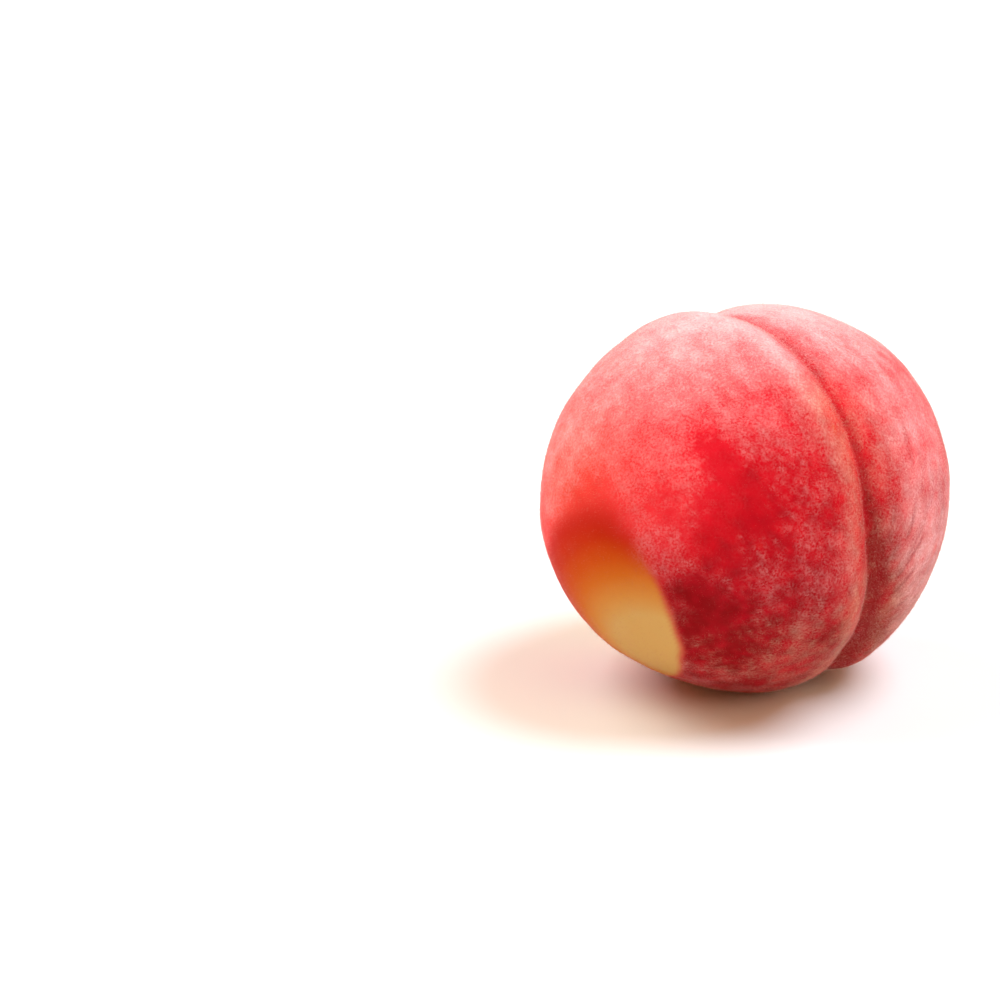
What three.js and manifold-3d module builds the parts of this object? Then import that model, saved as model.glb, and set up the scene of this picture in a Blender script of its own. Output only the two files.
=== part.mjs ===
// A whole ripe peach, lying on its side as one closed solid.
//
// The fruit has a frame of its own: +Z runs out through the stem end, +X through
// the ventral side that the suture runs down, and +Y through the right lobe. Its
// surface is a distance from the fruit's core along each direction: a plump body,
// less the suture and the stem cavity, plus the low fullnesses of the body and
// the tip. The solid is then leaned and turned to the way the fruit lies, trimmed
// flat where it rests, and moved so that the middle of its base is the origin.
//
// Millimetres, +Z up.

import * as THREE from 'three';
import { mergeVertices } from 'three/addons/utils/BufferGeometryUtils.js';
import Module from 'manifold-3d';

// ---- driving dimensions -----------------------------------------------------

// The plump body: half widths, and where its middle lies from the fruit's core.
const BODY_HALF = { ventral: 38.1, cheek: 42.3, stem: 37.9 };
const BODY_MIDDLE = { ventral: 3.8, cheek: 1.9, stem: -4.6 };

// The suture: a sharp crease in a wider valley, from the stem cavity down the ventral
// side and round the tip. Depths at mid height, at the stem end and at the tip; a
// negative valley is a shoulder, raised beside the crease. The edge is how far the
// bottom of the crease is rounded, most where it opens into the stem cavity.
const CREASE_DEPTH = { middle: 1.6, stem: 4.6, tip: 2.6 };
const CREASE_REACH = 2.5;
const CREASE_SPREAD = { stem: 0.9, tip: 0.4 };
const CREASE_EDGE = { middle: 0.25, stem: 4.0, tip: 0.25 };
const VALLEY_DEPTH = { middle: 0.8, stem: -1.6, tip: 1.6 };
const VALLEY_REACH = 9.0;

// The suture bends towards the right lobe below, by this much at the tip.
const SUTURE_BEND = 5.4;

// The left lobe stands higher than the right one beside the crease.
const LOBE_STEP = 1.2;
const LOBE_STEP_ROLL = 4.0;
const LOBE_STEP_REACH = 16.0;

// Places along the suture, in degrees: 0 at mid height, 90 at the stem, -90 at the tip.
const STEM_DEEPENING = [15, 80];
const TIP_DEEPENING = [10, 75];
const BEND_STRETCH = [45, 90];
const FADE_PAST_STEM = [78, 108];
const FADE_PAST_TIP = [115, 146];

// The stem cavity is a funnel, drawn out a little along the suture. Angles in radians.
const CAVITY_DEPTH = 12.5;
const CAVITY_ANGLE = 0.27;
const CAVITY_DRAW = 0.4;
const CAVITY_DRAW_SHARPNESS = 6;

// The tip: a small point in a shallow hollow.
const TIP_HOLLOW = { depth: 0.3, angle: 0.28 };
const TIP_POINT = { height: 0.7, angle: 0.05 };

// Broad fullnesses of the body: low on the right lobe, on the left lobe beside the
// suture and at its crown, and on the right shoulder. The reach is an angle in
// radians; polar angle and azimuth are in degrees.
const FULLNESSES = [
  { height: 3.5, reach: 0.44, polar: 147.6, azimuth: 134.4 },
  { height: 0.8, reach: 0.2, polar: 50, azimuth: -12 },
  { height: 0.4, reach: 0.3, polar: 38, azimuth: -60 },
  { height: 0.6, reach: 0.2, polar: 88, azimuth: 42 },
  { height: 1.7, reach: 0.16, polar: 160, azimuth: 138 },
];

// How the fruit lies: the stem end leans away from the suture side, then it turns.
const LEAN = 57;
const TURN = -51.5;

// Depth of the flat spot that the fruit has settled on.
const REST_FLAT = 0.7;

// Arc lengths across the suture are measured on a sphere of this radius.
const GIRTH_RADIUS = 39.0;

// The mesh: columns crowd towards the suture, rows towards the stem end and the tip.
const COLUMNS = 88;
const ROWS = 46;
const COLUMN_CROWDING = 0.7;
const ROW_CROWDING = 0.35;
const WELD_DISTANCE = 1e-4;

const SKIN_COLOUR = 0xd23b46;
const SKIN_ROUGHNESS = 0.75;

// ---- the surface, as a distance from the fruit's core --------------------------

// 0 below the first place, 1 above the second, and a smooth rise between them.
function rise(value, [from, to]) {
  return THREE.MathUtils.smoothstep(value, from, to);
}

function bell(distance, reach) {
  return Math.exp(-((distance / reach) ** 2));
}

// A value that changes from mid height towards the stem end and towards the tip.
function along(values, place) {
  const towardsStem = (values.stem - values.middle) * rise(place, STEM_DEEPENING);
  const towardsTip = (values.tip - values.middle) * rise(-place, TIP_DEEPENING);
  return values.middle + towardsStem + towardsTip;
}

// Distance to the body, an ellipsoid whose middle is off the core.
function bodyRadius(u) {
  const half = new THREE.Vector3(BODY_HALF.ventral, BODY_HALF.cheek, BODY_HALF.stem);
  const middle = new THREE.Vector3(BODY_MIDDLE.ventral, BODY_MIDDLE.cheek, BODY_MIDDLE.stem);
  const ray = u.clone().divide(half);
  const offset = middle.divide(half);
  const square = ray.lengthSq();
  const mixed = ray.dot(offset);
  return (mixed + Math.sqrt(mixed ** 2 + square * (1 - offset.lengthSq()))) / square;
}

// How deep the suture is: its crease, its valley and the step between the lobes.
function sutureDepth(u) {
  const place = THREE.MathUtils.radToDeg(Math.atan2(u.z, u.x));
  const bend = SUTURE_BEND * rise(-place, BEND_STRETCH);
  const across = GIRTH_RADIUS * Math.asin(THREE.MathUtils.clamp(u.y, -1, 1)) - bend;
  const present = (1 - rise(place, FADE_PAST_STEM)) * (1 - rise(-place, FADE_PAST_TIP));
  const spread = along({ middle: 0, ...CREASE_SPREAD }, place);
  const reach = CREASE_REACH * (1 + spread);
  const edge = along(CREASE_EDGE, place);
  const crease = along(CREASE_DEPTH, place) * Math.exp(-Math.hypot(across, edge) / reach);
  const valley = along(VALLEY_DEPTH, place) * bell(across, VALLEY_REACH);
  const step = LOBE_STEP * Math.tanh(across / LOBE_STEP_ROLL) * bell(across, LOBE_STEP_REACH);
  return present * (crease + valley + step);
}

function stemCavityDepth(u) {
  const polar = Math.acos(THREE.MathUtils.clamp(u.z, -1, 1));
  const azimuth = Math.atan2(u.y, u.x);
  const ventral = Math.max(Math.cos(azimuth), 0) ** CAVITY_DRAW_SHARPNESS;
  return CAVITY_DEPTH * bell(polar * (1 - CAVITY_DRAW * ventral), CAVITY_ANGLE);
}

function tipRelief(u) {
  const bend = SUTURE_BEND / GIRTH_RADIUS;
  const angle = u.angleTo(new THREE.Vector3(0, Math.sin(bend), -Math.cos(bend)));
  const point = TIP_POINT.height * bell(angle, TIP_POINT.angle);
  const hollow = TIP_HOLLOW.depth * bell(angle, TIP_HOLLOW.angle);
  return point - hollow;
}

function fullness(u) {
  return FULLNESSES.reduce((total, place) => {
    const polar = THREE.MathUtils.degToRad(place.polar);
    const azimuth = THREE.MathUtils.degToRad(place.azimuth);
    return total + place.height * bell(u.angleTo(direction(polar, azimuth)), place.reach);
  }, 0);
}

function surfaceRadius(u) {
  return bodyRadius(u) - sutureDepth(u) - stemCavityDepth(u) + tipRelief(u) + fullness(u);
}

// ---- the mesh ------------------------------------------------------------------

function direction(polar, azimuth) {
  const flat = Math.sin(polar);
  return new THREE.Vector3(flat * Math.cos(azimuth), flat * Math.sin(azimuth), Math.cos(polar));
}

// A sphere's grid of vertices, each moved out or in to the fruit's surface.
function fruitGeometry() {
  const geometry = new THREE.SphereGeometry(1, COLUMNS, ROWS);
  const position = geometry.attributes.position;
  for (let i = 0; i < position.count; i += 1) {
    const row = Math.floor(i / (COLUMNS + 1));
    const column = i % (COLUMNS + 1);
    const down = (Math.PI * row) / ROWS;
    const around = (2 * Math.PI * column) / COLUMNS;
    const polar = down - (ROW_CROWDING / 2) * Math.sin(2 * down);
    const azimuth = around - COLUMN_CROWDING * Math.sin(around);
    const u = direction(polar, azimuth);
    u.multiplyScalar(surfaceRadius(u));
    position.setXYZ(i, u.x, u.y, u.z);
  }
  geometry.deleteAttribute('normal');
  geometry.deleteAttribute('uv');
  return mergeVertices(geometry, WELD_DISTANCE);
}

// Lean the stem end back from the suture side, then turn the fruit on the table.
function layDown(geometry) {
  geometry.rotateY(THREE.MathUtils.degToRad(-LEAN));
  geometry.rotateZ(THREE.MathUtils.degToRad(TURN));
  return geometry;
}

// ---- trimming flat where it rests ----------------------------------------------

const wasm = await Module();
wasm.setup();

function toSolid(geometry) {
  const mesh = new wasm.Mesh({
    numProp: 3,
    vertProperties: Float32Array.from(geometry.attributes.position.array),
    triVerts: Uint32Array.from(geometry.index.array),
  });
  return new wasm.Manifold(mesh);
}

function toGeometry(solid) {
  const mesh = solid.getMesh();
  const geometry = new THREE.BufferGeometry();
  geometry.setAttribute('position', new THREE.BufferAttribute(mesh.vertProperties, 3));
  geometry.setIndex(new THREE.BufferAttribute(mesh.triVerts, 1));
  return geometry;
}

// A plain block with its top at the given height, wider than the fruit.
function blockBelow(top) {
  const side = 4 * GIRTH_RADIUS;
  const block = new THREE.BoxGeometry(side, side, side);
  block.deleteAttribute('normal');
  block.deleteAttribute('uv');
  block.translate(0, 0, top - side / 2);
  return mergeVertices(block, WELD_DISTANCE);
}

function trimRestSpot(geometry) {
  geometry.computeBoundingBox();
  const floor = geometry.boundingBox.min.z + REST_FLAT;
  return toGeometry(toSolid(geometry).subtract(toSolid(blockBelow(floor))));
}

// Move the middle of the base to the origin.
function standOnOrigin(geometry) {
  geometry.computeBoundingBox();
  const middle = geometry.boundingBox.getCenter(new THREE.Vector3());
  return geometry.translate(-middle.x, -middle.y, -geometry.boundingBox.min.z);
}

// ---- the part ------------------------------------------------------------------

function buildPeach() {
  const geometry = standOnOrigin(trimRestSpot(layDown(fruitGeometry())));
  geometry.computeVertexNormals();
  const skin = new THREE.MeshStandardMaterial({
    color: SKIN_COLOUR,
    roughness: SKIN_ROUGHNESS,
    metalness: 0,
  });
  const peach = new THREE.Mesh(geometry, skin);
  peach.name = 'peach';
  return peach;
}

const part = new THREE.Group();
part.name = 'whole_peach';
part.add(buildPeach());

export default part;
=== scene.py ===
# %% [markdown]
# # A ripe peach
#
# The frame holds one faceted solid, a whole peach lying on its side. This script gives it
# its looks: a fine skin on the same formula as the solid, a blush painted by the fruit's
# own directions, a coat of short down modelled hair by hair, and a plain pale studio.

# %% Load the frame
import math

import bpy
import numpy as np
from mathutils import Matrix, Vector


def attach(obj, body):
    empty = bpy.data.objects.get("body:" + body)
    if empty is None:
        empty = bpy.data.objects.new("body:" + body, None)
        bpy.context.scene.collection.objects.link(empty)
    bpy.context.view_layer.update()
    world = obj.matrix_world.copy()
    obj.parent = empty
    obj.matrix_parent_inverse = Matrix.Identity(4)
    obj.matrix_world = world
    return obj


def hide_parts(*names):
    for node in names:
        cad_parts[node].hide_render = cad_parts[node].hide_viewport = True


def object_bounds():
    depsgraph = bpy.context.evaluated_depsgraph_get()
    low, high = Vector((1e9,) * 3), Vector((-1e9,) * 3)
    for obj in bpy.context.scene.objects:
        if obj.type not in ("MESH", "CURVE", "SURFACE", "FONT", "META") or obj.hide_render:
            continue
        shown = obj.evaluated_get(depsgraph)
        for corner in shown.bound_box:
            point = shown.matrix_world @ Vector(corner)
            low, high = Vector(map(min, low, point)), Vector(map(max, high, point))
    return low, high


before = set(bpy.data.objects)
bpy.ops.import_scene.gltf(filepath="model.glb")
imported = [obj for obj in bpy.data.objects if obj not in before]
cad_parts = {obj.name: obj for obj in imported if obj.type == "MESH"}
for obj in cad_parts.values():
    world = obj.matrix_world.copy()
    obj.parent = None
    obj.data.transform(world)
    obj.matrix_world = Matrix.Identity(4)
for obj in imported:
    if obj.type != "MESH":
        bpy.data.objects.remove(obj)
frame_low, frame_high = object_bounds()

MM = 0.001
print("nodes in the frame:", len(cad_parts))
print("frame, mm:", [round(1000 * side, 2) for side in frame_high - frame_low])

# %% [markdown]
# ## The fruit's own directions
#
# A peach grows round its stem, so its lobes, its suture and its colours all follow the stem
# and not the table. It could be sculpted as it lies, but every later step would then have to
# find the stem again. So the fruit gets a frame of its own: +Z out through the stem end, +X
# through the side that the suture runs down, +Y through the right lobe. A point of the skin
# is a direction from the core times a radius. Lengths are millimetres and angles are radians
# unless a comment says degrees.

# %% Curves and directions
GIRTH_RADIUS = 39.0


def rise(value, low, high):
    """0 below low, 1 above high, and a smooth cubic rise between them."""
    t = np.clip((value - low) / (high - low), 0, 1)
    return t * t * (3 - 2 * t)


def bell(distance, reach):
    """A bell curve: 1 at no distance, and e to the minus one at its reach."""
    return np.exp(-((distance / reach) ** 2))


def direction(polar, azimuth):
    """The unit vector at an angle from the stem and an angle round from the suture."""
    flat = np.sin(polar)
    return np.stack([flat * np.cos(azimuth), flat * np.sin(azimuth), np.cos(polar)], -1)


def spot(polar, azimuth):
    """The direction of one place on the fruit, from its two angles in degrees."""
    return direction(*np.radians([polar, azimuth]))


def angle_to(u, target):
    """The angle between unit vectors and one target direction."""
    return np.arccos(np.clip(u @ target, -1, 1))


print("one degree of the girth is", round(math.radians(GIRTH_RADIUS), 2), "mm")

# %% [markdown]
# ## The body
#
# The flesh swells evenly round the stone, so the fruit is nearly a ball, a little wider
# across its lobes than from front to back. A sphere stretched by hand would do, but its core
# has to stay where the stem and the suture meet. So it is an ellipsoid whose middle lies off
# the core, and the radius is worked out along each ray.

# %% The body's radius
BODY_HALF = np.array([38.1, 42.3, 37.9])
BODY_MIDDLE = np.array([3.8, 1.9, -4.6])


def body_radius(u):
    """Distance from the core to the ellipsoid: the far root of the ray's quadratic equation."""
    ray = u / BODY_HALF
    offset = BODY_MIDDLE / BODY_HALF
    square = (ray * ray).sum(-1)
    mixed = ray @ offset
    return (mixed + np.sqrt(mixed**2 + square * (1 - offset @ offset))) / square


print("body radius at the suture's side, mm:", body_radius(spot(90, 0)).round(1))

# %% [markdown]
# ## The suture
#
# One fold runs down the fruit from stem to tip, where the folded leaf that it grew from
# closed round the seed. Cutting a groove with a Boolean would leave hard edges, and the
# real one has none: a narrow crease lies in a wide valley, and the left lobe stands a
# little above the right. Each is a curve across the suture that changes along it, and
# their sum is taken off the radius.

# %% The suture's depth
# Depths and spreads at mid height, at the stem end and at the tip.
CREASE_DEPTH = (1.6, 4.6, 2.6)
CREASE_SPREAD = (1.0, 1.9, 1.4)
CREASE_REACH = 2.5
CREASE_EDGE = (0.25, 4.0, 0.25)
VALLEY_DEPTH = (0.8, -1.6, 1.6)
VALLEY_REACH = 9.0
LOBE_STEP = 1.2
LOBE_STEP_ROLL = 4.0
LOBE_STEP_REACH = 16.0
# The tip lies this far towards the right lobe, and the suture bends that way to reach it.
SUTURE_BEND = 5.4

# Places along the suture, in degrees: 0 at mid height, 90 at the stem, -90 at the tip.
STEM_DEEPENING = (15, 80)
TIP_DEEPENING = (10, 75)
BEND_STRETCH = (45, 90)
FADE_PAST_STEM = (78, 108)
FADE_PAST_TIP = (115, 146)


def along(values, place):
    """A value that changes from mid height towards the stem end and towards the tip."""
    middle, stem, tip = values
    towards_stem = (stem - middle) * rise(place, *STEM_DEEPENING)
    towards_tip = (tip - middle) * rise(-place, *TIP_DEEPENING)
    return middle + towards_stem + towards_tip


def suture_place(u):
    """Where a direction lies along the suture, in degrees, and how far across it, in millimetres."""
    place = np.degrees(np.arctan2(u[..., 2], u[..., 0]))
    bend = SUTURE_BEND * rise(-place, *BEND_STRETCH)
    across = GIRTH_RADIUS * np.arcsin(np.clip(u[..., 1], -1, 1)) - bend
    return place, across


def suture_presence(place):
    """1 down the suture's side of the fruit, fading past the stem and past the tip."""
    return (1 - rise(place, *FADE_PAST_STEM)) * (1 - rise(-place, *FADE_PAST_TIP))


def suture_depth(u):
    """A sharp crease of exponential walls, a bell-shaped valley, and a step down to the right lobe."""
    place, across = suture_place(u)
    reach = CREASE_REACH * along(CREASE_SPREAD, place)
    crease = along(CREASE_DEPTH, place) * np.exp(-np.hypot(across, along(CREASE_EDGE, place)) / reach)
    valley = along(VALLEY_DEPTH, place) * bell(across, VALLEY_REACH)
    step = LOBE_STEP * np.tanh(across / LOBE_STEP_ROLL) * bell(across, LOBE_STEP_REACH)
    return suture_presence(place) * (crease + valley + step)


print("suture depth at mid height, mm:", suture_depth(spot(90, 0)).round(2))

# %% [markdown]
# ## Stem cavity, tip and fullnesses
#
# The flesh swells up round the stalk, which leaves a funnel, and it ends in a small point.
# No fruit is even, and a few places stand out. Sculpt strokes could shape all these, but
# they can't be named or measured. So each is a bell over an angle, with a height in mm.

# %% Cavity, tip and fullnesses
CAVITY_DEPTH = 12.5
CAVITY_ANGLE = 0.27
CAVITY_DRAW = 0.4
CAVITY_DRAW_SHARPNESS = 6
TIP_HOLLOW = (0.3, 0.28)
TIP_POINT = (0.7, 0.05)

# Broad fullnesses: height in mm, reach in radians, then polar angle and azimuth in degrees.
FULLNESSES = {
    "heel": (3.5, 0.44, 147.6, 134.4),
    "left lip": (0.8, 0.20, 50.0, -12.0),
    "left crown": (0.4, 0.30, 38.0, -60.0),
    "right shoulder": (0.6, 0.20, 88.0, 42.0),
    "right end": (1.7, 0.16, 160.0, 138.0),
}


def stem_cavity_depth(polar, azimuth):
    """A bell-shaped funnel round the stem, drawn out a little towards the suture."""
    ventral = np.maximum(np.cos(azimuth), 0) ** CAVITY_DRAW_SHARPNESS
    return CAVITY_DEPTH * bell(polar * (1 - CAVITY_DRAW * ventral), CAVITY_ANGLE)


def tip_relief(u):
    """A small point in a shallow hollow, on the suture at the tip."""
    bend = SUTURE_BEND / GIRTH_RADIUS
    angle = angle_to(u, np.array([0, math.sin(bend), -math.cos(bend)]))
    return TIP_POINT[0] * bell(angle, TIP_POINT[1]) - TIP_HOLLOW[0] * bell(angle, TIP_HOLLOW[1])


def fullness(u):
    """The sum of low bells, each over one place of the body."""
    total = 0
    for height, reach, polar, azimuth in FULLNESSES.values():
        total = total + height * bell(angle_to(u, spot(polar, azimuth)), reach)
    return total


print("cavity depth half its angle from the stem, mm:", stem_cavity_depth(CAVITY_ANGLE / 2, math.pi).round(1))

# %% [markdown]
# ## Fine relief
#
# The solid stops at the main form. The skin adds what is too small for it: a slight
# unevenness of the flesh, and the round scar that the stalk leaves in the stem cavity. A
# bump map could fake both, but it leaves the outline bare, and the mesh is fine enough to
# carry them. So they are part of the radius, and the unevenness is a sum of seeded waves.

# %% Relief finer than the solid
# The unevenness, as wavelengths and heights in mm, each with its seed.
UNEVENNESS = ((26.0, 0.22, 11), (10.0, 0.09, 12), (4.0, 0.03, 13))
# The scar: its angle from the stem, and its lift, rim and pit in mm.
SCAR_ANGLE = 0.10
SCAR_LIFT = 0.7
SCAR_RIM = 0.35
SCAR_PIT = 0.6


def waves(points, wavelength, seed, count=24):
    """A smooth random field: the sum of plane waves in seeded directions, mostly within -1 to 1."""
    draw = np.random.default_rng(seed)
    headings = draw.normal(size=(count, 3))
    headings *= 2 * math.pi / wavelength / np.linalg.norm(headings, axis=1, keepdims=True)
    phases = draw.uniform(0, 2 * math.pi, count)
    return np.cos(points @ headings.T + phases).sum(-1) / math.sqrt(count)


def unevenness(u):
    """The sum of three random fields of falling wavelength and height."""
    points = u * GIRTH_RADIUS
    return sum(height * waves(points, wavelength, seed) for wavelength, height, seed in UNEVENNESS)


def stalk_scar(polar):
    """A low disc with a raised rim and a pit in its middle, by the angle from the stem."""
    disc = SCAR_LIFT * (1 - rise(polar, 0.8 * SCAR_ANGLE, 1.1 * SCAR_ANGLE))
    rim = SCAR_RIM * bell(polar - 0.8 * SCAR_ANGLE, 0.12 * SCAR_ANGLE)
    pit = SCAR_PIT * bell(polar, 0.25 * SCAR_ANGLE)
    return disc + rim - pit


def skin_radius(polar, azimuth):
    """The whole surface: the body, less suture and cavity, plus the small reliefs."""
    u = direction(polar, azimuth)
    main = body_radius(u) - suture_depth(u) - stem_cavity_depth(polar, azimuth)
    return main + tip_relief(u) + fullness(u) + unevenness(u) + stalk_scar(polar)


print("the scar is", round(2 * SCAR_ANGLE * skin_radius(0.0, 0.0), 1), "mm across")

# %% [markdown]
# ## The skin's mesh
#
# The skin is one closed surface. An icosphere would spread its points evenly and spend too
# few on the crease. So this is a grid of columns round the stem axis and rows from stem to
# tip. The columns crowd towards the suture, where the crease needs them, and the rows crowd
# towards both ends. It is leaned and turned to the way the fruit lies, and the plane that it
# rests on presses it flat, as soft flesh settles.

# %% Points and faces of the grid
COLUMNS = 430
ROWS = 220
COLUMN_CROWDING = 0.7
ROW_CROWDING = 0.35


def grid_angles():
    """Polar angle and azimuth of every vertex between the poles, one row after another, then of the poles."""
    down = math.pi * np.arange(1, ROWS) / ROWS
    around = 2 * math.pi * np.arange(COLUMNS) / COLUMNS
    polar = down - ROW_CROWDING / 2 * np.sin(2 * down)
    azimuth = around - COLUMN_CROWDING * np.sin(around)
    polar, azimuth = np.meshgrid(polar, azimuth, indexing="ij")
    return np.append(polar.ravel(), [0.0, math.pi]), np.append(azimuth.ravel(), [0.0, 0.0])


def grid_faces():
    """Quads between neighbouring rows, and a fan of triangles round each pole."""
    column = np.arange(COLUMNS)
    following = (column + 1) % COLUMNS
    start = COLUMNS * np.arange(ROWS - 2)[:, None]
    below = start + COLUMNS
    quads = np.stack([start + column, below + column, below + following, start + following], -1)
    stem_pole = COLUMNS * (ROWS - 1)
    last = COLUMNS * (ROWS - 2)
    stem_fan = np.stack([np.full(COLUMNS, stem_pole), column, following], -1)
    tip_fan = np.stack([np.full(COLUMNS, stem_pole + 1), last + following, last + column], -1)
    return quads.reshape(-1, 4).tolist() + stem_fan.tolist() + tip_fan.tolist()


polar, azimuth = grid_angles()
heading = direction(polar, azimuth)
print("grid:", len(heading), "points")

# %% Lay it down, and make the piece
LEAN = math.radians(57)
TURN = math.radians(-51.5)
REST_FLAT = 0.7


def laid_down(points):
    """Leans the stem end back from the suture side, then turns the fruit on the table."""
    lean_cos, lean_sin = math.cos(LEAN), math.sin(LEAN)
    turn_cos, turn_sin = math.cos(TURN), math.sin(TURN)
    lean = np.array([[lean_cos, 0, -lean_sin], [0, 1, 0], [lean_sin, 0, lean_cos]])
    turn = np.array([[turn_cos, -turn_sin, 0], [turn_sin, turn_cos, 0], [0, 0, 1]])
    return points @ (turn @ lean).T


def new_piece(name, vertices, faces):
    """A mesh object at the origin, shaded smooth, from millimetre vertices."""
    mesh = bpy.data.meshes.new(name)
    mesh.from_pydata((vertices * MM).tolist(), [], faces, shade_flat=False)
    piece = bpy.data.objects.new(name, mesh)
    bpy.context.scene.collection.objects.link(piece)
    return piece


skin_points = laid_down(heading * skin_radius(polar, azimuth)[:, None])
floor_level = skin_points[:, 2].min() + REST_FLAT
skin_points[:, 2] = np.maximum(skin_points[:, 2], floor_level)
low, high = skin_points.min(0), skin_points.max(0)
core = np.array([-(low[0] + high[0]) / 2, -(low[1] + high[1]) / 2, -floor_level])
skin_points += core

skin = new_piece("peach_skin", skin_points, grid_faces())
print("skin:", len(skin.data.polygons), "faces,", (high - low).round(2), "mm")

# %% [markdown]
# ## Red pigment, and the down over it
#
# A peach has two layers to look at. The skin itself runs from cream through coral and red to
# crimson, as deep as the sun made it. Over it lies down too fine to see hair by hair, which
# greys the red like a veil. It could all be noise in the shader, but blush, veil and rubbed
# places follow the fruit's own form, so they are worked out here for every vertex by the
# same directions as the shape, and the shader only reads the result. Both layers also carry
# painted light: the red is deepened as painted shade in the crease, low on the fruit and
# above the pale mark, and the veil is paled as painted highlight and sheen on the upper side
# and at the edges.

# %% Colours, and measures for them
# Near the stem axis the level is softened by this share of the radius, so it has no seam behind.
LEVEL_SOFTENING = 0.2
# The front of the fruit, by how far a heading points to the suture's side.
FRONT_STRETCH = (-0.5, 0.2)


def linear(code):
    """An sRGB colour such as "#E3BE74" as the linear RGBA that shaders use."""
    parts = [int(code[i : i + 2], 16) / 255 for i in (1, 3, 5)]
    return [c / 12.92 if c <= 0.04045 else ((c + 0.055) / 1.055) ** 2.4 for c in parts] + [1.0]


def colour_along(value, colours):
    """The colour at each value, from colours at rising values, straight between them in linear light."""
    stops = list(colours)
    channels = np.array([linear(code) for code in colours.values()]).T
    return np.stack([np.interp(value, stops, channel) for channel in channels], -1)


def laid_over(below, above, amount):
    """One colour laid over another by an amount from 0 to 1."""
    amount = np.clip(amount, 0, 1)[..., None]
    return below * (1 - amount) + above * amount


def level_and_side(u):
    """The suture's two measures without its seam at the back: degrees towards the stem, and mm aside."""
    level = np.degrees(np.arctan2(u[..., 2], np.hypot(u[..., 0], LEVEL_SOFTENING)))
    side = GIRTH_RADIUS * np.arcsin(np.clip(u[..., 1], -1, 1))
    return level, side - SUTURE_BEND * rise(-level, *BEND_STRETCH)


place, across = suture_place(heading)
level, aside = level_and_side(heading)
front = rise(heading[:, 0], *FRONT_STRETCH)
print("level, degrees:", level.min().round(0), "to", level.max().round(0), " front:", front.mean().round(2))

# %% [markdown]
# ## Mottles and streaks
#
# No patch of the skin is even: the red comes in blotches, the down in clumps, and both in
# streaks that run from stem to tip as the fruit swelled. Blender's noise nodes could draw
# them, but here they also have to steer where hairs grow. So they are sums of seeded waves,
# each size given in millimetres, and the streaks are waves on a map squeezed along them.

# %% Random fields for the skin
# The largest patch of each field in mm, and its seed.
BLOTCHES = (14.0, 41)
FLECKS = (3.6, 51)
CLUMPS = (2.4, 81)
CLOUDS = (7.0, 71)
STREAKS = (5.0, 61)
STREAK_SQUEEZE = 0.25
STREAKS_END = (10, 20)


def mottles(points, largest, seed, layers=4, fall=0.6):
    """Random fields added up, each half as wide as the last and lower than it by the fall."""
    return sum(fall**k * waves(points, largest / 2**k, seed + k) for k in range(layers))


round_fruit = heading * GIRTH_RADIUS
meridian_map = np.stack([np.cos(azimuth), np.sin(azimuth), STREAK_SQUEEZE * polar], -1) * GIRTH_RADIUS
broad_mottle = mottles(round_fruit, *BLOTCHES)
fine_mottle = mottles(round_fruit, *FLECKS, layers=2)
clumps = np.clip(mottles(round_fruit, *CLUMPS, layers=2), -1, 1)
cloudy = mottles(round_fruit, *CLOUDS, layers=3)
streaks = mottles(meridian_map, *STREAKS, layers=2) * (1 - rise(aside, *STREAKS_END))
print("mottle, streaks:", broad_mottle.std().round(2), fine_mottle.std().round(2), streaks.std().round(2))

# %% [markdown]
# ## The red
#
# The red deepens from coral at the shoulder to crimson low on the cheek that faced the sun.
# The deepening low down is partly that real crimson and partly painted shade, as that side
# faces down as the fruit lies, away from the overhead light. One gradient would look
# airbrushed. So its depth is read from two short tables, one beside the suture and one on
# the left cheek, and a riper core, a wedge of painted shade in the crease, the mottles and
# dark streaks on the right lobe are added to it.

# %% How deep the red is
# Depth of the red, 0 coral to 1 dark crimson, at levels in degrees: first beside the suture
# and on the right lobe, then on the left cheek; the rise at the lowest levels is partly
# painted shade. The cheek begins these mm aside.
SUTURE_REDS_AND_SHADE = {20: 0.34, -10: 0.44, -40: 0.60, -57: 0.76, -75: 0.86, -90: 0.92}
CHEEK_REDS_AND_SHADE = {-20: 0.0, -34: 0.05, -49: 0.46, -56: 0.72, -65: 0.96, -76: 1.06}
CHEEK_STRETCH = (-40.0, -12.0)
RIGHT_LOBE_STRETCH = (3.0, 13.0)
# The riper core: its place, how much redder it is and its reach in radians.
RED_CORE = spot(121.0, -44.0)
CORE_RED = (0.12, 0.3)
# The wedge, painted shade on the right lobe's wall beside the crease: its place and reach
# along the suture in degrees, then across it in mm.
WEDGE_SHADE_RED = 0.15
WEDGE_ALONG = (-52.0, 12.0)
WEDGE_ACROSS = (2.5, 2.5)
BLOTCH_RED, FLECK_RED = 0.06, 0.05
STREAK_RED = 0.18
STREAK_STRENGTH = (0.3, 1.3)
STREAKS_BELOW = (0, 35)


def between(value, stops):
    """Straight interpolation in a list of stops, whatever order they are given in."""
    keys = sorted(stops)
    return np.interp(value, keys, [stops[key] for key in keys])


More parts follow.
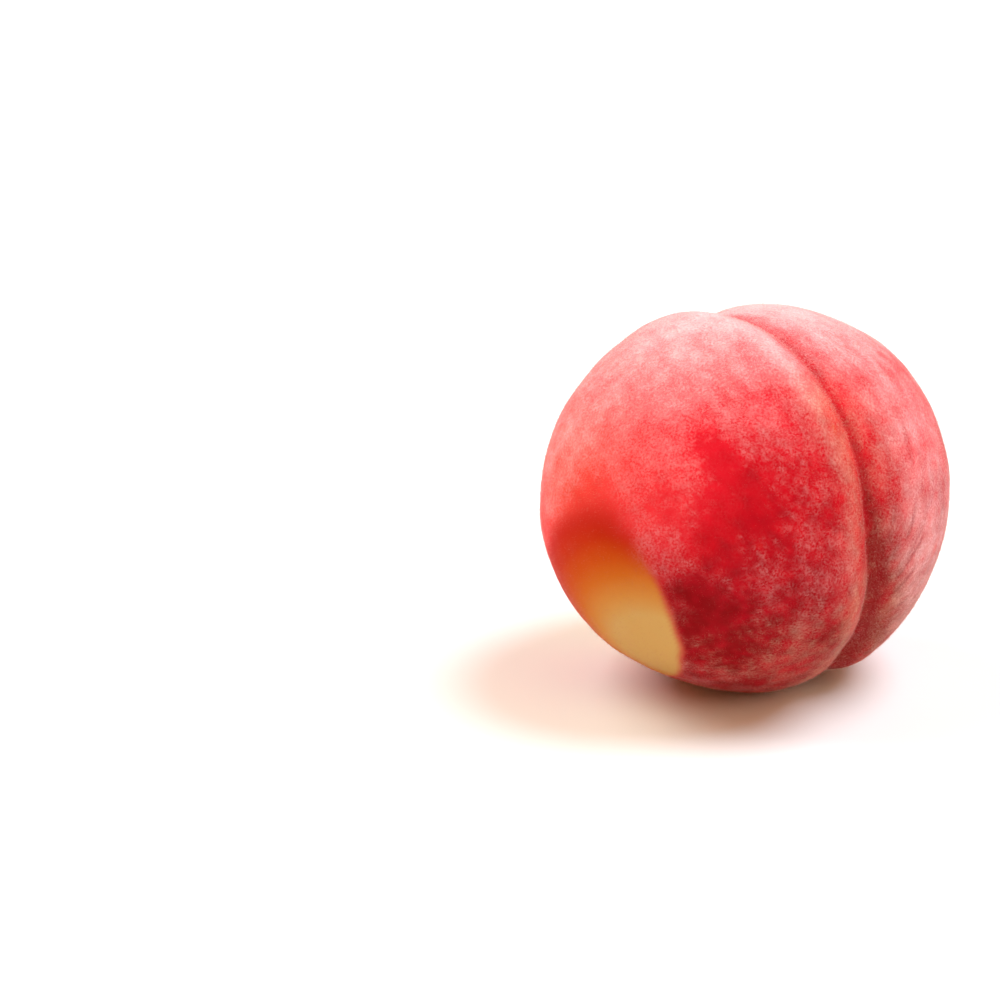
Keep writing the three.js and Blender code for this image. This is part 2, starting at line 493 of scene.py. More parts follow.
beside_suture = rise(aside, *CHEEK_STRETCH)
right_lobe = front * rise(aside, *RIGHT_LOBE_STRETCH)
red_and_painted_shade = between(level, SUTURE_REDS_AND_SHADE) * beside_suture + between(level, CHEEK_REDS_AND_SHADE) * (1 - beside_suture)
crease_wedge_shade = bell(place - WEDGE_ALONG[0], WEDGE_ALONG[1]) * bell(across - WEDGE_ACROSS[0], WEDGE_ACROSS[1])
red_and_painted_shade += CORE_RED[0] * bell(angle_to(heading, RED_CORE), CORE_RED[1]) + WEDGE_SHADE_RED * crease_wedge_shade
red_and_painted_shade += BLOTCH_RED * broad_mottle + FLECK_RED * fine_mottle
dark_streaks = right_lobe * rise(streaks, *STREAK_STRENGTH) * rise(-level, *STREAKS_BELOW)
red_and_painted_shade += STREAK_RED * dark_streaks
print("depth of red:", red_and_painted_shade.min().round(2), "to", red_and_painted_shade.max().round(2))

# %% [markdown]
# ## Where the down is worn, and painted shade in the crease
#
# Down rubs off where fruits touch and on the ripest cheek. In the crease a band is painted
# darker red and barer of down: painted shade where the walls hide the light, over a red that
# is only a little deeper. Painting these by hand would fix them to one mesh. So each is a
# field: blots of noise kept to two places, and a band that wanders along the suture by a
# short table.

# %% Rubbed places, and the painted shade in the crease
# Places that are rubbed, each with its reach in radians.
RIPE_CHEEK_REACH = 0.42
MARK_SIDE = spot(137.0, -87.0)
MARK_SIDE_REACH = 0.28
PLACES_WITHIN = (0.05, 0.5)
PLACE_STRENGTH = 1.3
BLOT_STRENGTH = 0.35
PRICKLE = (1.6, 45)
PRICKLE_STRENGTH = 0.25
RUB_STRETCH = (0.1, 1.2)
# The painted shade in the crease, a darker red with less down: places along the suture in
# degrees, and its middle and reach across it in mm.
CREASE_SHADE_PLACES = (-80, -56, -32, -15, 5, 25, 38)
CREASE_SHADE_MIDDLES = (2.6, 1.6, 0.4, 0.6, 0.4, 0.4, 0.4)
CREASE_SHADE_REACHES = (3.0, 2.2, 1.3, 1.3, 3.2, 3.2, 0.8)
CREASE_SHADE_RED = 0.2


def rubbed_field(u):
    """Where the down is worn off: blots kept to the ripest cheek and to the side of the mark."""
    points = u * GIRTH_RADIUS
    cheek = bell(angle_to(u, RED_CORE), RIPE_CHEEK_REACH) + bell(angle_to(u, MARK_SIDE), MARK_SIDE_REACH)
    blots = BLOT_STRENGTH * mottles(points, *BLOTCHES) + PRICKLE_STRENGTH * waves(points, *PRICKLE)
    worn = rise(blots + PLACE_STRENGTH * np.minimum(cheek, 1), *RUB_STRETCH)
    return worn * rise(cheek, *PLACES_WITHIN)


rubbed = rubbed_field(heading)
# Painted shade in the crease: the red is deepened and the down thinned where the crease hides the light.
crease_shade_middle = np.interp(place, CREASE_SHADE_PLACES, CREASE_SHADE_MIDDLES)
crease_shade_reach = np.interp(place, CREASE_SHADE_PLACES, CREASE_SHADE_REACHES)
crease_shade = suture_presence(place) * bell(across - crease_shade_middle, crease_shade_reach)
red_and_painted_shade += CREASE_SHADE_RED * crease_shade
print("rubbed bare:", (rubbed > 0.9).mean().round(3), " stained:", (crease_shade > 0.5).mean().round(3))

# %% [markdown]
# ## How thick the down lies elsewhere
#
# The down thins from the stem end towards the tip. Its tables also hold painted light: the
# stem end, which faces up as the fruit lies, is laid paler as painted highlight of the
# overhead light on the down, and the left lip of the suture and the far right end are laid
# paler as painted sheen, where the down is seen edge on. A single veil over the fruit would
# look dusty. So its thickness comes from tables by level, one beside the suture, one on the
# left cheek and one for the left lip, with small changes for the flanks and the far end, and
# clumps and streaks over them all.

# %% Thickness of the fine down
# At high levels, the upper side as the fruit lies, both tables are raised as painted highlight of the
# overhead light on the down.
VEIL_AND_TOP_LIGHT = {
    75: 0.40, 50: 0.52, 32: 0.70, 12: 0.48, 0: 0.29,
    -10: 0.14, -20: 0.10, -38: 0.05, -60: 0.06, -85: 0.06,
}
CHEEK_VEIL_AND_TOP_LIGHT = {
    45: 0.35, 28: 0.25, 12: 0.16, 0: 0.11, -20: 0.11,
    -30: 0.10, -42: 0.08, -53: 0.06, -65: 0.03, -78: 0.05,
}
# The lip's band is painted sheen, a pale edge where the left lip turns away.
LIP_PAINTED_SHEEN = {
    30: 0.12, 10: 0.26, 0: 0.36, -10: 0.28, -18: 0.12,
    -32: 0.16, -42: 0.08, -57: 0.10, -80: 0.15, -96: 0.20,
}
LIP_MIDDLE = -5.2
LIP_REACH = 2.6
# Changes, each an amount and the stretch it comes in over, in mm aside or in degrees below.
LEFT_FLANK_LOSS = (0.16, 42, 50)
RIGHT_LOBE_GAIN = 0.17
RIGHT_LOBE_LOW_GAIN = (0.09, 5, 30)
RIGHT_FLANK_LOSS = (0.07, 14, 26)
# The far right end's gain is painted sheen, a pale band near the edge of the outer right cheek.
RIGHT_END_PAINTED_SHEEN = (0.12, 7, 15)
RIGHT_END_STRETCH = (45, 65)
# Away from the front the veil keeps only this share, since much of its paleness is painted highlight and
# sheen.
BACK_SHARE = 0.6
LEAST_VEIL = 0.02
MOST_VEIL = 0.85
CLOUD_GAIN = 0.035
PALE_STREAK_GAIN = (0.07, 0.2, 1.2)
# Unevenness of a thin veil, by cloud, fleck and clump.
UNEVEN_VEIL = (0.1, 0.15, 0.13)
# What rubbing, the crease's painted shade and dark streaks take of it.
RUBBED_LOSS, CREASE_SHADE_LOSS, DARK_STREAK_LOSS = 0.94, 0.7, 0.4


def change(value, amount, low, high):
    """An amount that comes in smoothly as the value passes from low to high."""
    return amount * rise(value, low, high)


veil_and_painted_light = between(level, VEIL_AND_TOP_LIGHT) * beside_suture + between(level, CHEEK_VEIL_AND_TOP_LIGHT) * (1 - beside_suture)
veil_and_painted_light -= change(-aside, *LEFT_FLANK_LOSS)
right_gain = RIGHT_LOBE_GAIN + change(-level, *RIGHT_LOBE_LOW_GAIN) - change(aside, *RIGHT_FLANK_LOSS)
veil_and_painted_light += right_lobe * right_gain
veil_and_painted_light += change(aside, *RIGHT_END_PAINTED_SHEEN) * rise(-level, *RIGHT_END_STRETCH)
veil_and_painted_light *= BACK_SHARE + (1 - BACK_SHARE) * front
veil_and_painted_light += between(place, LIP_PAINTED_SHEEN) * suture_presence(place) * bell(across - LIP_MIDDLE, LIP_REACH)
veil_and_painted_light += LEAST_VEIL + CLOUD_GAIN * cloudy + right_lobe * change(-streaks, *PALE_STREAK_GAIN)
uneven = UNEVEN_VEIL[0] * cloudy + UNEVEN_VEIL[1] * fine_mottle + UNEVEN_VEIL[2] * clumps
veil_and_painted_light *= 1 + (1 - veil_and_painted_light) * uneven
veil_and_painted_light *= (1 - RUBBED_LOSS * rubbed) * (1 - CREASE_SHADE_LOSS * crease_shade) * (1 - DARK_STREAK_LOSS * dark_streaks)
veil_and_painted_light = np.clip(veil_and_painted_light, 0, MOST_VEIL)
print("veil:", veil_and_painted_light.min().round(2), "to", veil_and_painted_light.max().round(2))

# %% [markdown]
# ## The pale mark of a neighbour
#
# Where another fruit leaned on this one no sun reached it, and the skin stayed cream. The
# mark could be a circle of flat colour, but the real one is crisp where the fruits touched
# and fades upwards through orange, under a darker red rim. That rim is partly a real red
# edge and partly the painted shadow of the neighbouring fruit. So its depth is the softened
# lesser of two circles' depths, and crisp edge, soft edge, rim and a rosy line are all read
# from that depth.

# %% The pale mark
PALE_MARK = spot(94.3, -111.5)
PALE_MARK_ANGLE = math.radians(41.8)
PALEST = spot(130.0, -103.0)
# Towards the stem it ends at a second circle, round its palest place; the two meet over some mm.
UPPER_END_ANGLE = math.radians(46.0)
ENDS_MEET = 2.5
# No such edge is a true circle: it wanders by so many mm, in waves of a size, with a seed.
EDGE_WANDER = 0.15
WANDER = (6.0, 47)
# The edge in mm inside the circles, from none of the mark to all: crisp below, soft above.
CRISP_EDGE = (-0.9, 1.0)
SOFT_EDGE = (-3.0, 4.5)
# Where above begins, and where the rim does, in degrees from the palest place.
UPPER_PART = (22, 38)
RIM_PART = (24, 42)
# The darker rim, partly painted shadow of the neighbouring fruit, and the rosy line:
# strength, then how deep each lies and its half width in mm.
RIM_STRENGTH = 0.5
RIM_BAND = (2.2, 3.2)
LINE_STRENGTH = 0.5
LINE_BAND = (-0.1, 0.6)


def mark_depth(u):
    """How far inside the mark's edge, in mm: the softened lesser of the arcs left to two circles."""
    side = GIRTH_RADIUS * (PALE_MARK_ANGLE - angle_to(u, PALE_MARK))
    end = GIRTH_RADIUS * (UPPER_END_ANGLE - angle_to(u, PALEST))
    wander = EDGE_WANDER * waves(u * GIRTH_RADIUS, *WANDER)
    return wander - ENDS_MEET * np.logaddexp(-side / ENDS_MEET, -end / ENDS_MEET)


def from_palest(u):
    """The angle from the mark's palest place, in degrees."""
    return np.degrees(angle_to(u, PALEST))


def mark_field(u):
    """How much the mark covers: full inside its circles, with a crisp lower edge and a soft upper one."""
    crisp, soft = [rise(mark_depth(u), *edge) for edge in (CRISP_EDGE, SOFT_EDGE)]
    upper = rise(from_palest(u), *UPPER_PART)
    return crisp * (1 - upper) + soft * upper


def rim_and_shade_field(u):
    """Where the darker red lies, partly real rim and partly painted shadow of the neighbour: a soft band
    inside the edge, full at the upper end, none at the lower.
    """
    return RIM_STRENGTH * rise(from_palest(u), *RIM_PART) * bell(mark_depth(u) - RIM_BAND[0], RIM_BAND[1])


def line_field(u):
    """Where the crisp edge shows rosy: a narrow band along it, none at the upper end."""
    lower = 1 - rise(from_palest(u), *UPPER_PART)
    return LINE_STRENGTH * lower * bell(mark_depth(u) - LINE_BAND[0], LINE_BAND[1])


mark = mark_field(heading)
rim = rim_and_shade_field(heading)
print("pale mark covers", (100 * mark.mean()).round(1), "% of the vertices")

# %% [markdown]
# ## Mixing the skin's colours
#
# The ground is cream, greener at the stem, and the blush covers all but the shaded side,
# ragged at its border. Each layer could be a Mix node, but a stack of them is hard to read.
# So the colours are laid over each other here in linear light, and four attributes on the
# mesh carry the result: pigment with its painted shade, the down's tint, its thickness with
# its painted highlight and sheen, and its graininess.

# %% Mix the colours
# Coral to dark crimson. The darker end also serves the painted shade low on the fruit and in the crease.
REDS = {0.0: "#EE2A38", 0.3: "#DA172A", 0.55: "#C40C1E", 0.8: "#A40B1B", 1.0: "#82050D"}
GROUNDS = {-1.0: "#DFAE68", 1.0: "#D6A057"}
# The mark's colour by the angle from its palest place, in degrees.
MARK_COLOURS = {14: "#C69C5A", 20: "#C8863E", 26: "#C4661C", 31: "#C04C0C", 37: "#BC3006", 44: "#CC2C14"}
DOWN_TINTS = {0.0: "#F6C4C7", 1.0: "#E6BC9E"}
# The rim's red is partly painted shadow of the neighbouring fruit.
STEM_GREEN, SCAR_BROWN, RIM_RED_AND_SHADE, LINE_ROSE, SHADED_DOWN = [
    np.array(linear(code)) for code in ("#B9A552", "#7A5230", "#A60F04", "#CC3A40", "#EAD9B2")
]
# The side away from the sun, and where its cream gives way to the blush, in radians.
SHADED_SIDE = spot(76.0, 162.0)
SHADE_RADIUS = 2.2
SHADE_EDGE = (0.95, 1.85)
SHADE_PATCHES = (34.0, 21)
SHADE_RAGGED = 0.22
STEM_GREEN_REACH = 0.36
COVER_STRETCH = (0.15, 0.75)
# What streaks and flecks add to the cover, and the stem takes of it.
STREAK_COVER, FLECK_COVER, STEM_BARE = 0.1, 0.08, 0.25
# Over the left cheek some ground shows through: where, how much and its reach in radians.
LEFT_CHEEK = spot(80.0, -78.0)
CHEEK_GROUND = (0.12, 0.4)


def blush_field(u):
    """How much red covers the ground: full on the sunny cheek, ragged at its border, none in the shade."""
    patches = waves(u * GIRTH_RADIUS, *SHADE_PATCHES)
    return 1 - rise(SHADE_RADIUS - angle_to(u, SHADED_SIDE) - SHADE_RAGGED * patches, *SHADE_EDGE)


near_stem = bell(polar, STEM_GREEN_REACH)
ragged = STREAK_COVER * streaks + FLECK_COVER * fine_mottle - STEM_BARE * near_stem
cover = rise(blush_field(heading) + ragged, *COVER_STRETCH)
cover *= 1 - CHEEK_GROUND[0] * bell(angle_to(heading, LEFT_CHEEK), CHEEK_GROUND[1])
scar = 1 - rise(polar, 0.7 * SCAR_ANGLE, 1.15 * SCAR_ANGLE)
pigment_and_shade = laid_over(colour_along(broad_mottle, GROUNDS), STEM_GREEN, near_stem)
pigment_and_shade = laid_over(pigment_and_shade, colour_along(red_and_painted_shade, REDS), cover)
pigment_and_shade = laid_over(pigment_and_shade, colour_along(from_palest(heading), MARK_COLOURS), mark)
pigment_and_shade = laid_over(pigment_and_shade, RIM_RED_AND_SHADE, rim)
pigment_and_shade = laid_over(pigment_and_shade, LINE_ROSE, line_field(heading))
pigment_and_shade = laid_over(pigment_and_shade, SCAR_BROWN, scar)
print("blush covers", (100 * cover.mean()).round(1), "% of the vertices")

# %% Keep them on the mesh
# The down is warmer on the lower lips of the suture, within some mm of it, and at the far end.
LIP_WARMTH = (-1.0, 7.0)
LIP_WARMTH_BELOW = (0, 20)
END_WARMTH_BELOW = (58, 78)
RIGHT_END_COOLER = 0.8
# Grain where the down is thick, and this much more of it where it is thin; clumps vary both.
GRAIN_OF_VEIL = 0.16
GRAIN_AT_LEAST = 0.07
GRAIN_OF_CLUMPS = 0.3
# What the pale mark takes of the veil.
MARK_LOSS = 0.9


def store(mesh, name, values):
    """Keeps one number, or one colour, for every vertex of the mesh."""
    kind, key = ("FLOAT", "value") if values.ndim == 1 else ("FLOAT_COLOR", "color")
    data = mesh.attributes.new(name, kind, "POINT").data
    data.foreach_set(key, np.ascontiguousarray(values, dtype=np.float32).ravel())


lip_warmth = bell(across - LIP_WARMTH[0], LIP_WARMTH[1]) * rise(-place, *LIP_WARMTH_BELOW)
end_warmth = rise(-level, *END_WARMTH_BELOW) * (1 - RIGHT_END_COOLER * right_lobe)
sunny_down = colour_along(np.clip(lip_warmth + end_warmth, 0, 1), DOWN_TINTS)
veil_and_painted_light *= (1 - MARK_LOSS * mark) * (1 - rim) * (1 - scar)
graininess = (GRAIN_OF_VEIL * veil_and_painted_light + np.minimum(veil_and_painted_light, GRAIN_AT_LEAST)) * (1 + GRAIN_OF_CLUMPS * clumps)
# The pigment carries painted shade, and the veil painted highlight and sheen.
store(skin.data, "pigment_and_shade", pigment_and_shade)
store(skin.data, "down_tint", laid_over(SHADED_DOWN, sunny_down, cover))
store(skin.data, "veil_and_painted_light", veil_and_painted_light)
store(skin.data, "graininess", graininess)
print("mean veil:", veil_and_painted_light.mean().round(3), " mean grain:", graininess.mean().round(3))

# %% [markdown]
# ## Peach skin
#
# Grown, not made: a thin waxy skin under down. It is matt all over, with no sharp gloss, a
# little light goes through it, and its edges against the light are paler than its middle.
# An image texture would fix its detail to one size. Here the pigment and the veil come from
# the mesh, with painted shade and painted highlight laid into them, the shader breaks the
# veil into grains, since real down shows as grain at arm's length, and a sheen stands for
# its glow at the edges.

# %% Helpers for materials
def add(tree, kind, inputs=(), **settings):
    """Adds a node, makes its settings, then sets or links its inputs by name or number."""
    node = tree.nodes.new(kind)
    for key, value in settings.items():
        setattr(node, key, value)
    for key, value in dict(inputs).items():
        socket = node.inputs[key]
        if isinstance(value, bpy.types.NodeSocket):
            tree.links.new(value, socket)
        else:
            socket.default_value = value
    return node


def new_material(name):
    """An empty node material, with its tree."""
    material = bpy.data.materials.new(name)
    material.use_nodes = True
    material.node_tree.nodes.clear()
    return material, material.node_tree


def plain_material(name, surface):
    """A material that is the same all over, from the settings of its surface."""
    material, tree = new_material(name)
    shader = add(tree, "ShaderNodeBsdfPrincipled", surface)
    add(tree, "ShaderNodeOutputMaterial", {"Surface": shader.outputs[0]})
    return material


# %% Peach skin, grown and downy
# Real hairs are 0.02 mm thick and would not show, so the grain is drawn twenty times as wide.
GRAIN_SIZE = 0.45
# The part of the noise that is stretched to swing the veil fully down and up.
GRAIN_SWING = {"From Min": 0.32, "From Max": 0.68, "To Min": -1.0, "To Max": 1.0}
GRAIN_BUMP = 0.1
# Plant wax alone, with an IOR near 1.45, would gloss. The down hides nearly all of that, so the
# specular level is far under its usual 0.5 and the eye sees a matt skin, with a soft pale sheen
# at the edges that it reads as fuzz. Red light goes furthest into the flesh, by these mm.
SKIN_SURFACE = {
    "Roughness": 0.6,
    "Specular IOR Level": 0.03,
    "Subsurface Weight": 0.08,
    "Subsurface Radius": (1.0, 0.3, 0.15),
    "Subsurface Scale": 1.5 * MM,
    "Sheen Weight": 0.15,
    "Sheen Roughness": 0.22,
    "Sheen Tint": linear("#FFE3DC"),
}


def downy_skin():
    """Matt, faintly translucent skin: pigment and painted shade from the mesh, under a grained veil of down
    and painted highlight.
    """
    material, tree = new_material("downy_peach_skin")
    kept = {
        name: add(tree, "ShaderNodeAttribute", attribute_name=name)
        for name in ("pigment_and_shade", "down_tint", "veil_and_painted_light", "graininess")
    }
    coordinates = add(tree, "ShaderNodeTexCoord")
    sizes = {"Scale": 1 / (GRAIN_SIZE * MM), "Detail": 1.0, "Roughness": 0.7}
    grain = add(tree, "ShaderNodeTexNoise", {"Vector": coordinates.outputs["Object"], **sizes})
    swing = add(tree, "ShaderNodeMapRange", {"Value": grain.outputs["Fac"], **GRAIN_SWING})
    amounts = {0: swing.outputs[0], 1: kept["graininess"].outputs["Fac"], 2: kept["veil_and_painted_light"].outputs["Fac"]}
    amount = add(tree, "ShaderNodeMath", amounts, operation="MULTIPLY_ADD", use_clamp=True)
    # Inputs 6 and 7 of a Mix node are its two colours, and output 2 is the colour it makes.
    below, above = kept["pigment_and_shade"].outputs["Color"], kept["down_tint"].outputs["Color"]
    layers = {0: amount.outputs[0], 6: below, 7: above}
    colour = add(tree, "ShaderNodeMix", layers, data_type="RGBA")
    relief = {"Height": grain.outputs["Fac"], "Strength": 0.25, "Distance": GRAIN_BUMP * MM}
    bump = add(tree, "ShaderNodeBump", relief)
    surface = {"Base Color": colour.outputs[2], "Normal": bump.outputs[0], **SKIN_SURFACE}
    shader = add(tree, "ShaderNodeBsdfPrincipled", surface)
    add(tree, "ShaderNodeOutputMaterial", {"Surface": shader.outputs[0]})
    return material


skin.data.materials.append(downy_skin())
print("skin nodes:", len(skin.data.materials[0].node_tree.nodes))

# %% [markdown]
# ## The down
#
# Each hair is one dead cell that stands out of the skin, a few tenths of a millimetre long.
# Blender's hair curves would draw them, but the export keeps only meshes. So each hair is a
# closed needle with three sides and its root sunk in. Their roots are drawn over the mesh by
# area, fewer where the down is worn, and they lean by a slow random field, so that the coat
# has a nap.

# %% Where the hairs stand
HAIRS = 188000
DOWN_SEED = 100
# What the mark, its rim, which is partly painted shadow of the neighbouring fruit, and
# rubbing take of the hairs.
MARK_BARE, RIM_BARE, RUBBED_BARE = 0.8, 0.8, 0.9


def hair_density(u):
    """How thick the down stands: full on most of the skin, thin where it is rubbed and on the mark."""
    on_mark = (1 - MARK_BARE * mark_field(u)) * (1 - RIM_BARE * rim_and_shade_field(u))
    return on_mark * (1 - RUBBED_BARE * rubbed_field(u))


def skin_triangles(mesh):
    """Corner points, normals and headings, and the mean hair density, of every triangle of the skin."""
    mesh.calc_loop_triangles()
    corners = np.empty(3 * len(mesh.loop_triangles), dtype=np.int32)
    mesh.loop_triangles.foreach_get("vertices", corners)
    normals = np.empty(3 * len(mesh.vertices), dtype=np.float32)
    mesh.vertex_normals.foreach_get("vector", normals)
    corners = corners.reshape(-1, 3)
    thickness = hair_density(heading)[corners].mean(1)
    return skin_points[corners], normals.reshape(-1, 3)[corners].astype(float), heading[corners], thickness


def roots(corners, normals, headings, thickness, count, draw):
    """Points spread by area times hair density over the triangles, with normal and heading at each."""
    edges = corners[:, 1] - corners[:, 0], corners[:, 2] - corners[:, 0]
    share = np.linalg.norm(np.cross(*edges), axis=1) * thickness
    chosen = draw.choice(len(share), size=count, p=share / share.sum())
    a, b = draw.uniform(size=(2, count))
    a, b = np.where(a + b > 1, 1 - a, a), np.where(a + b > 1, 1 - b, b)
    weights = np.stack([1 - a - b, a, b], -1)[:, :, None]
    return [(part[chosen] * weights).sum(1) for part in (corners, normals, headings)]


def unit(vectors):
    """The same vectors at length one."""
    return vectors / np.linalg.norm(vectors, axis=-1, keepdims=True)


down_draw = np.random.default_rng(DOWN_SEED)
root, normal, root_heading = roots(*skin_triangles(skin.data), HAIRS, down_draw)
normal, root_heading = unit(normal), unit(root_heading)
print("roots:", len(root))

# %% How long they are, and which way they lean
# In mm: length from shortest to longest, and how far the root is sunk.
HAIR_LENGTH = (0.18, 0.48)
HAIR_SINK = 0.12
# Lean of the nap and of each hair by itself, as a share of its length; the nap's waves in mm.
HAIR_LEAN = 0.35
HAIR_JITTER = 0.5
NAP_WAVELENGTH = 14.0
NAP_SEEDS = (31, 32, 33)
CLEAR_OF_FLOOR = 0.05

nap = np.stack([waves(root, NAP_WAVELENGTH, seed) for seed in NAP_SEEDS], -1)
lean = HAIR_LEAN * nap + HAIR_JITTER * down_draw.normal(size=root.shape)
lean -= (lean * normal).sum(-1, keepdims=True) * normal
growth = unit(normal + lean)
length = down_draw.uniform(*HAIR_LENGTH, len(root))
clear = (root + length[:, None] * growth)[:, 2] > CLEAR_OF_FLOOR
clear &= root[:, 2] > CLEAR_OF_FLOOR + HAIR_SINK
print("clear of the floor:", int(clear.sum()), "hairs")

# %% [markdown]
# ## Coats
#
# A hair is nearly clear and takes the colour of the skin under it. A texture on each hair
# would do that, but the export then bakes a picture for every needle. So the hairs are
# sorted into six coats of one plain colour each, mixed at random where two coats meet. The
# palest coat lies on the side that faces up as the fruit lies: its paleness is painted
# highlight of the overhead light on the down.

# %% Which coat a hair belongs to
COATS = {
    # The first coat's paler hair on the upper side is painted highlight.
    "down_shoulder": "#F6D2CD",
    "down_left_cheek": "#E88E78",
    "down_right_cheek": "#E6AFA3",
    "down_deep_end": "#C06C64",
    "down_shaded_side": "#F0D8B8",
    "down_back": "#E6AFA3",
}
LIT_TOP_COAT, LEFT_COAT, RIGHT_COAT, DEEP_COAT, SHADED_COAT, BACK_COAT = range(len(COATS))
# The lit top's and the deep end's places, and the reach in radians over which each coat
# ends. The lit top faces up as the fruit lies, and its pale coat is painted highlight.
LIT_TOP, LIT_TOP_END = spot(57.0, -8.0), (0.2, 1.0)
DEEP_END, DEEP_END_END = spot(146.0, -74.0), (0.4, 1.1)
CORE_COAT_REACH = 0.5
# The cheeks part here across the suture, and the back parts from the right cheek here.
LEFT_BEYOND = -0.15
BACK_BEYOND = 0.1


def pick_coats(u, draw):
    """Which coat each hair belongs to: the first whose field beats a random number, else its cheek's."""
    chance = draw.uniform(size=len(u))
    right_or_back = np.where(u[:, 0] > BACK_BEYOND, RIGHT_COAT, BACK_COAT)
    cheek = np.where(u[:, 1] < LEFT_BEYOND, LEFT_COAT, right_or_back)
    coat = np.where(chance > blush_field(u), SHADED_COAT, cheek)
    deep = 1 - rise(angle_to(u, DEEP_END), *DEEP_END_END)
    deep = np.maximum(deep, bell(angle_to(u, RED_CORE), CORE_COAT_REACH))
    coat = np.where(chance < deep, DEEP_COAT, coat)
    # Pale hair on the upper side, as painted highlight.
    shoulder = 1 - rise(angle_to(u, LIT_TOP), *LIT_TOP_END)
    return np.where(chance < shoulder, LIT_TOP_COAT, coat)


coat_of_hair = pick_coats(root_heading, down_draw)
print("hairs by coat:", np.bincount(coat_of_hair[clear]).tolist())

# %% Grow the coats
# Real hairs are about 0.02 mm thick; these are a little thicker, so that they show.
HAIR_WIDTH = 0.03
# Any direction that no hair grows in: it only turns the needle's base about its own axis.
OFF_AXIS = (0.31, 0.52, 0.79)
# Corners 0 to 2 are the base and 3 is the point; every face is listed to turn outwards.
NEEDLE_FACES = np.array([[0, 2, 1], [0, 1, 3], [1, 2, 3], [2, 0, 3]])
# Dry plant hair scatters light and has next to no gloss, so that the coat looks soft and dusty.
HAIR_SURFACE = {"Roughness": 0.7, "Specular IOR Level": 0.2}


def hair_mesh(root, growth, length):
    """Needles as tetrahedra: three corners of a small base under the skin, and a point along the growth."""
    side = unit(np.cross(growth, OFF_AXIS))
    other = np.cross(growth, side)
    turns = 2 * math.pi * np.arange(3) / 3
    ring = np.cos(turns)[None, :, None] * side[:, None] + np.sin(turns)[None, :, None] * other[:, None]
    base = (root - HAIR_SINK * growth)[:, None] + HAIR_WIDTH / 2 * ring
    tip = root + length[:, None] * growth
    vertices = np.concatenate([base, tip[:, None]], 1).reshape(-1, 3)
    faces = (4 * np.arange(len(root))[:, None, None] + NEEDLE_FACES).reshape(-1, 3)
    return vertices, faces.tolist()


coats = []
for number, (name, colour) in enumerate(COATS.items()):
    mine = clear & (coat_of_hair == number)
    coat = new_piece(name, *hair_mesh(root[mine], growth[mine], length[mine]))
    surface = {"Base Color": linear(colour), **HAIR_SURFACE}
    coat.data.materials.append(plain_material(name.replace("down", "fine_plant_hair"), surface))
    coats.append(coat)
    print(name, int(mine.sum()), "hairs")

# %% [markdown]
# ## Ties to the frame
#
# The fruit is one piece with no joints, so the skin and its down all ride on the one body.
# The faceted solid could stay under the skin, but the two surfaces would flicker through
# each other. So the skin stands for it.

# %% Ride and replace
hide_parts("peach")
for piece in [skin, *coats]:
    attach(piece, "root")
print("pieces that ride:", 1 + len(coats))

# %% [markdown]
# ## Studio
#
# The fruit lies on pale card under one broad soft light from high on the right. A picture of
# a studio could light it, but plain lamps are easier to read and to move. A sun with a wide
# angle is the broad light, a weaker lamp at the back left lifts that edge, a warm one at the
# front right opens the shade, and an even warm surround fills the rest.

# %% Floor
FLOOR_HALF = 3000.0
# Matt card, a little cool, as the warm surround would else tint the shadow.
CARD_SURFACE = {"Base Color": linear("#F5F8FA"), "Roughness": 0.6, "Specular IOR Level": 0.2}


def floor():
    """A large plain sheet at the level that the fruit rests on."""
    square = FLOOR_HALF * np.array([[-1.0, -1.0, 0], [1, -1, 0], [1, 1, 0], [-1, 1, 0]])
    sheet = new_piece("floor", square, [(0, 1, 2, 3)])
    sheet.data.materials.append(plain_material("matt_white_card", CARD_SURFACE))
    return sheet


floor()
print("floor, m across:", 2 * FLOOR_HALF * MM)

# %% Lights
# Name: kind, place, power, then a sun's angle in degrees or a square lamp's width in metres, and colour.
LIGHTS = {
    "overhead": ("SUN", (0.56, 0.08, 1.0), 3.2, 36, "#E8F2FF"),
    "back_left": ("AREA", (-0.9, 0.3, 1.1), 16.0, 1.0, "#FFFFFF"),
    "front_right": ("AREA", (0.8, -0.9, 0.9), 5.0, 0.9, "#FFE9CF"),
}
SURROUND_COLOUR = "#FFC884"
SURROUND_STRENGTH = 0.44


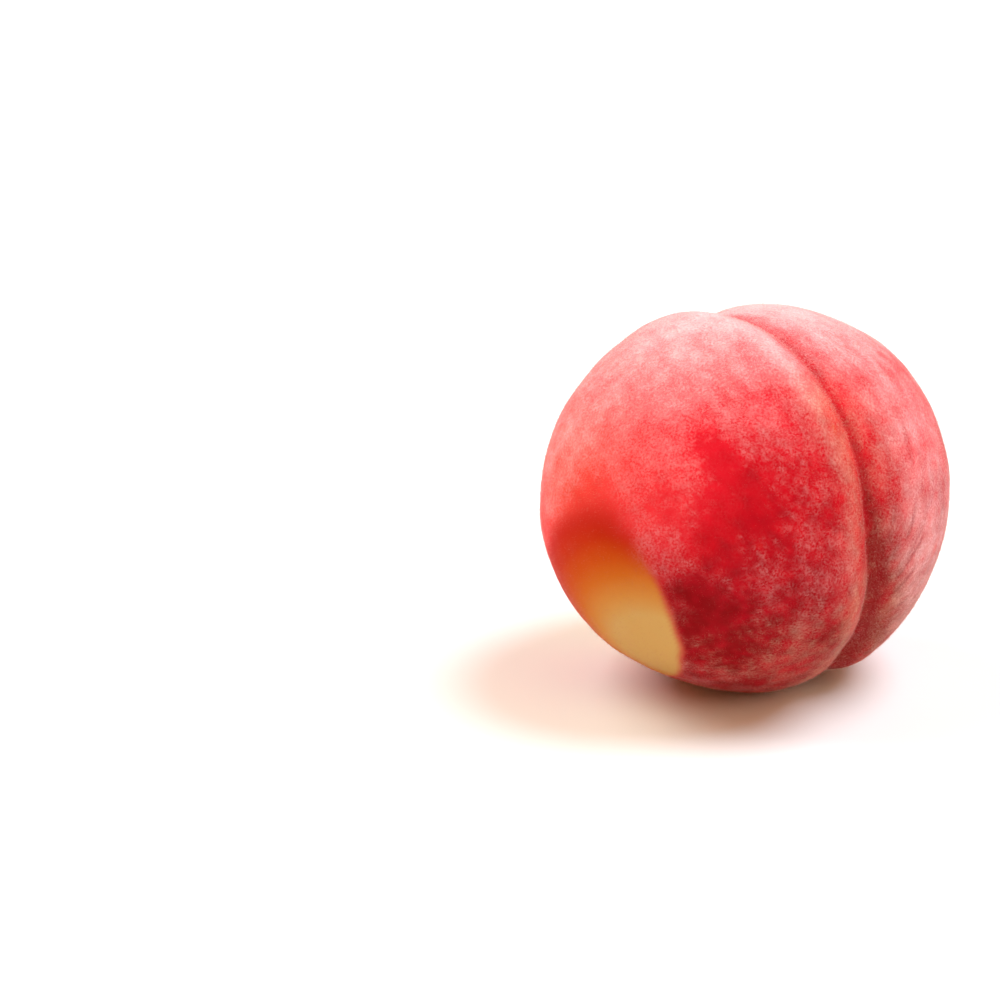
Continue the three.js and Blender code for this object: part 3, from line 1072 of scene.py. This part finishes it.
def soft_light(name, kind, place, power, spread, colour):
    """A sun of some angle, or a square lamp of some width, that faces the fruit's middle."""
    lamp = bpy.data.lights.new(name, kind)
    lamp.energy = power
    lamp.color = linear(colour)[:3]
    if kind == "SUN":
        lamp.angle = math.radians(spread)
    else:
        lamp.size = spread
    light = bpy.data.objects.new(name, lamp)
    light.location = place
    light.rotation_euler = (fruit_middle - Vector(place)).to_track_quat("-Z", "Y").to_euler()
    bpy.context.scene.collection.objects.link(light)


def surround(strength, colour):
    """A world of one even colour."""
    world = bpy.data.worlds.new("surround")
    world.use_nodes = True
    background = world.node_tree.nodes["Background"]
    background.inputs["Color"].default_value = linear(colour)
    background.inputs["Strength"].default_value = strength
    bpy.context.scene.world = world


fruit_middle = Vector((0.0, 0.0, 0.5 * (frame_low.z + frame_high.z)))
for name, light in LIGHTS.items():
    soft_light(name, *light)
surround(SURROUND_STRENGTH, SURROUND_COLOUR)
print("lights:", ", ".join(LIGHTS))

# %% [markdown]
# ## Camera
#
# A peach is small and is looked at closely, which bends its form. The camera could stand
# near with a short lens, but then the near side swells. So a long lens looks down at twenty
# degrees from half a metre away. The fruit's core is put at its place in a square picture,
# right of the middle, by moving the camera sideways and up.

# %% Camera
ELEVATION = math.radians(20)
DISTANCE = 555.0
LENS = 100.0
SENSOR = 36.0
PICTURE = 1000
CORE_PIXEL = (717.8, 491.8)
NEAREST = 0.01


def place_camera():
    """Puts the camera where the core falls on its pixel, level and unshifted."""
    forward = np.array([0, math.cos(ELEVATION), -math.sin(ELEVATION)])
    up = np.array([0, math.sin(ELEVATION), math.cos(ELEVATION)])
    right = np.array([1, 0, 0])
    per_pixel = SENSOR / LENS / PICTURE * DISTANCE
    sideways = (CORE_PIXEL[0] - PICTURE / 2) * per_pixel
    upwards = (PICTURE / 2 - CORE_PIXEL[1]) * per_pixel
    data = bpy.data.cameras.new("camera")
    data.lens = LENS
    data.sensor_width = SENSOR
    data.clip_start = NEAREST
    camera = bpy.data.objects.new("camera", data)
    camera.location = Vector((core - DISTANCE * forward - sideways * right - upwards * up) * MM)
    camera.rotation_euler = Vector(forward).to_track_quat("-Z", "Y").to_euler()
    bpy.context.scene.collection.objects.link(camera)
    bpy.context.scene.camera = camera
    return camera


camera = place_camera()
bpy.context.scene.view_settings.view_transform = "Standard"
print("camera at, m:", [round(part, 3) for part in camera.location])
